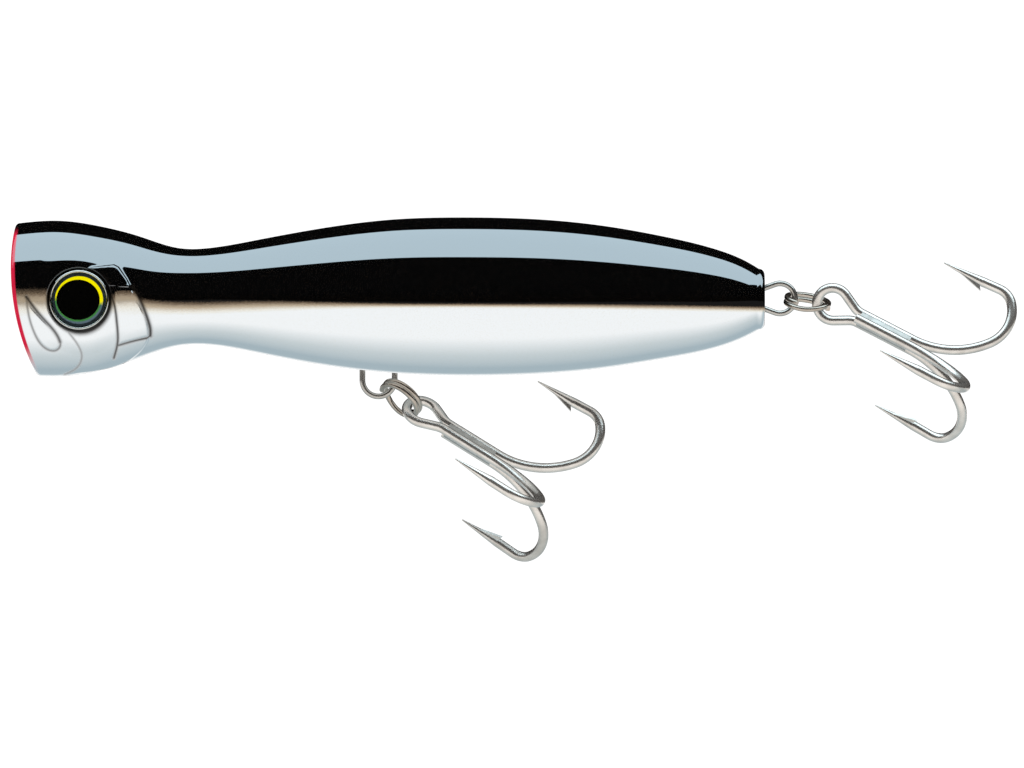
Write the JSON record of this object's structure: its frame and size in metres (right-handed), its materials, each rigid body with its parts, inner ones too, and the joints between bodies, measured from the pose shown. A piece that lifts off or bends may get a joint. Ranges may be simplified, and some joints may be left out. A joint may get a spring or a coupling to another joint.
{
  "type": "topwater popper",
  "caption": "Hard plastic popping lure with a cupped mouth, wire hangers, split rings, swinging treble hooks and a sliding casting weight.",
  "frame": {"origin": "centre of the line tie's eye, in the mouth cup", "axes": "+X from the mouth to the tail, +Y to the lure's right side, +Z to its back"},
  "size_m": [0.1736, 0.0361, 0.0596],
  "materials": {
    "body_paint": "gloss black over chrome, clear coated",
    "hanger_wire": "drawn stainless wire",
    "split_ring": "polished dark nickel",
    "hook_tin": "bright tin plate",
    "braze": "tin-plated solder",
    "magnet_plating": "bright nickel",
    "ball_steel": "polished",
    "eye_disc": "printed film",
    "eye_lens": "clear, polished"
  },
  "bodies": {
    "lure_body": {"left_shell": "body_paint", "right_shell": "body_paint", "line_tie_wire": "hanger_wire", "tail_hanger_wire": "hanger_wire", "belly_hanger_wire": "hanger_wire", "holding_magnet": "magnet_plating", "left_eye_disc": "eye_disc", "left_eye_lens": "eye_lens", "right_eye_disc": "eye_disc", "right_eye_lens": "eye_lens"},
    "casting_weight": {"weight_ball_1": "ball_steel", "weight_ball_2": "ball_steel", "weight_ball_3": "ball_steel"},
    "belly_ring": {"belly_split_ring": "split_ring"},
    "belly_treble": {"belly_double_hook": "hook_tin", "belly_single_hook": "hook_tin", "belly_shank_braze": "braze"},
    "tail_ring": {"tail_split_ring": "split_ring"},
    "tail_treble": {"tail_double_hook": "hook_tin", "tail_single_hook": "hook_tin", "tail_shank_braze": "braze"}
  },
  "joints": [
    {"name": "casting_weight_slide", "type": "slide", "parent": "lure_body", "child": "casting_weight", "axis": [1, 0, 0], "range_m": [0, 0.035]},
    {"name": "belly_ring_swing", "type": "hinge", "parent": "lure_body", "child": "belly_ring", "pos_m": [0.0616, 0, -0.01598], "axis": [0.6157, 0, 0.788], "range_deg": [-45, 45]},
    {"name": "belly_treble_swing", "type": "hinge", "parent": "belly_ring", "child": "belly_treble", "pos_m": [0.06606, 0, -0.01972], "axis": [0.3087, -0.8771, 0.3679], "range_deg": [-85, 3]},
    {"name": "tail_ring_swing", "type": "hinge", "parent": "lure_body", "child": "tail_ring", "pos_m": [0.13145, 0, -0.00046], "axis": [0.1392, 0, 0.9903], "range_deg": [-75, 75]},
    {"name": "tail_treble_swing", "type": "hinge", "parent": "tail_ring", "child": "tail_treble", "pos_m": [0.1372, 0, -0.00142], "axis": [-0.0399, -0.9703, -0.2386], "range_deg": [-75, 110]}
  ]
}
